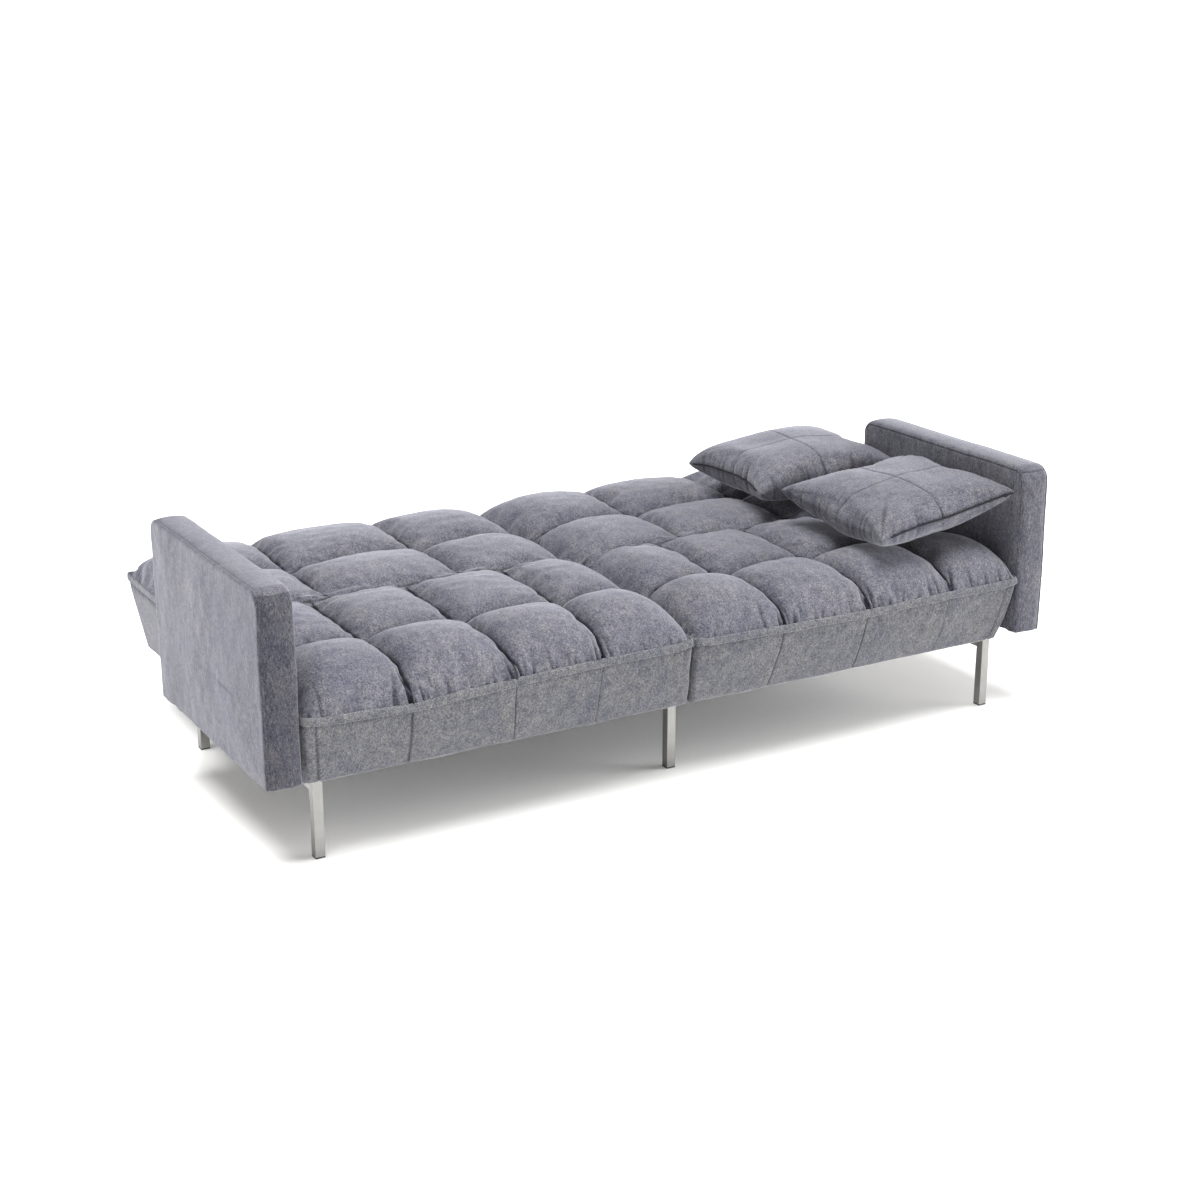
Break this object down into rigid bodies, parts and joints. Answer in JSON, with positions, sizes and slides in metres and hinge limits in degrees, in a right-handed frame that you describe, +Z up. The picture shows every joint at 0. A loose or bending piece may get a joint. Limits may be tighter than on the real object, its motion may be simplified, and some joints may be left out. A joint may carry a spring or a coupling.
{
  "type": "futon sofa bed",
  "caption": "Split-back sofa bed laid flat, with quilted blue-grey fabric, square metal legs, low padded arms and loose pillows.",
  "frame": {"origin": "on the floor, under the middle of the bed's outline seen from above", "axes": "+X along the bed's length towards the viewer's right seen from the front, +Y from the seat's front edge to the backrest, +Z up"},
  "size_m": [1.9, 1.056, 0.573],
  "materials": {
    "cap_plastic": "moulded black",
    "dust_cover_cloth": "black non-woven cloth",
    "fastener_steel": "zinc-plated",
    "frame_wood": "sawn softwood",
    "hinge_steel": "pressed plate, zinc-plated",
    "leg_metal": "satin chrome",
    "pad_rubber": "matt black",
    "pillow_fabric": "mottled blue-grey chenille weave",
    "spring_steel": "blackened spring wire",
    "underframe_metal": "zinc-plated",
    "upholstery_fabric": "mottled blue-grey chenille weave"
  },
  "bodies": {
    "base": {"arm_bolts": "fastener_steel", "arm_cover_left": "upholstery_fabric", "arm_cover_right": "upholstery_fabric", "arm_frame_left": "frame_wood", "arm_frame_right": "frame_wood", "base_cross_rails": "underframe_metal", "base_side_rails": "underframe_metal", "foot_caps": "cap_plastic", "hinge_pivot_pins": "fastener_steel", "hinge_seat_bolts": "fastener_steel", "hinge_seat_plates": "hinge_steel", "leg_front_centre": "leg_metal", "leg_front_left": "leg_metal", "leg_front_right": "leg_metal", "leg_plates": "underframe_metal", "leg_rear_centre": "leg_metal", "leg_rear_left": "leg_metal", "leg_rear_right": "leg_metal", "leg_screws": "fastener_steel", "pawl_pins": "fastener_steel", "pawl_springs": "spring_steel", "rest_pads": "pad_rubber", "seat_boxing_left": "upholstery_fabric", "seat_boxing_right": "upholstery_fabric", "seat_corner_blocks": "frame_wood", "seat_cushion_left": "upholstery_fabric", "seat_cushion_right": "upholstery_fabric", "seat_dust_cover_left": "dust_cover_cloth", "seat_dust_cover_right": "dust_cover_cloth", "seat_front_rails": "frame_wood", "seat_joining_bolts": "fastener_steel", "seat_rear_rails": "frame_wood", "seat_side_rails": "frame_wood", "seat_spring_clips": "fastener_steel", "seat_springs_left": "spring_steel", "seat_springs_right": "spring_steel"},
    "backrest_left": {"back_boxing_left": "upholstery_fabric", "back_cushion_left": "upholstery_fabric", "back_dust_cover_left": "dust_cover_cloth", "back_hinge_rail_left": "frame_wood", "back_side_rails_left": "frame_wood", "back_spring_clips_left": "fastener_steel", "back_springs_left": "spring_steel", "back_top_rail_left": "frame_wood", "hinge_back_bolts_left": "fastener_steel", "hinge_back_plates_left": "hinge_steel"},
    "backrest_right": {"back_boxing_right": "upholstery_fabric", "back_cushion_right": "upholstery_fabric", "back_dust_cover_right": "dust_cover_cloth", "back_hinge_rail_right": "frame_wood", "back_side_rails_right": "frame_wood", "back_spring_clips_right": "fastener_steel", "back_springs_right": "spring_steel", "back_top_rail_right": "frame_wood", "hinge_back_bolts_right": "fastener_steel", "hinge_back_plates_right": "hinge_steel"},
    "pawls_left": {"pawls_left": "hinge_steel"},
    "pawls_right": {"pawls_right": "hinge_steel"},
    "pillow_front": {"pillow_front": "pillow_fabric"},
    "pillow_rear": {"pillow_rear": "pillow_fabric"}
  },
  "joints": [
    {"name": "backrest_left_fold", "type": "hinge", "parent": "base", "child": "backrest_left", "pos_m": [0, -0.043, 0.345], "axis": [1, 0, 0], "range_deg": [0, 75]},
    {"name": "backrest_right_fold", "type": "hinge", "parent": "base", "child": "backrest_right", "pos_m": [0, -0.043, 0.345], "axis": [1, 0, 0], "range_deg": [0, 75]},
    {"name": "pawls_left_click", "type": "hinge", "parent": "base", "child": "pawls_left", "pos_m": [0, -0.0735, 0.3099], "axis": [-1, 0, 0], "range_deg": [0, 8], "stiffness_Nm_per_rad": 0.3},
    {"name": "pawls_right_click", "type": "hinge", "parent": "base", "child": "pawls_right", "pos_m": [0, -0.0735, 0.3099], "axis": [-1, 0, 0], "range_deg": [0, 8], "stiffness_Nm_per_rad": 0.3},
    {"name": "pillow_front_slide", "type": "slide", "parent": "base", "child": "pillow_front", "axis": [0, -1, 0], "range_m": [0, 0.1]},
    {"name": "pillow_rear_slide", "type": "slide", "parent": "backrest_right", "child": "pillow_rear", "axis": [-0.3499, 0.9368, 0], "range_m": [0, 0.08]}
  ],
  "couplings": [
    {"joint": "pillow_front_slide", "follows": "backrest_right_fold", "m_per_rad": 0.076394},
    {"joint": "pillow_rear_slide", "follows": "backrest_right_fold", "m_per_rad": 0.061115}
  ]
}
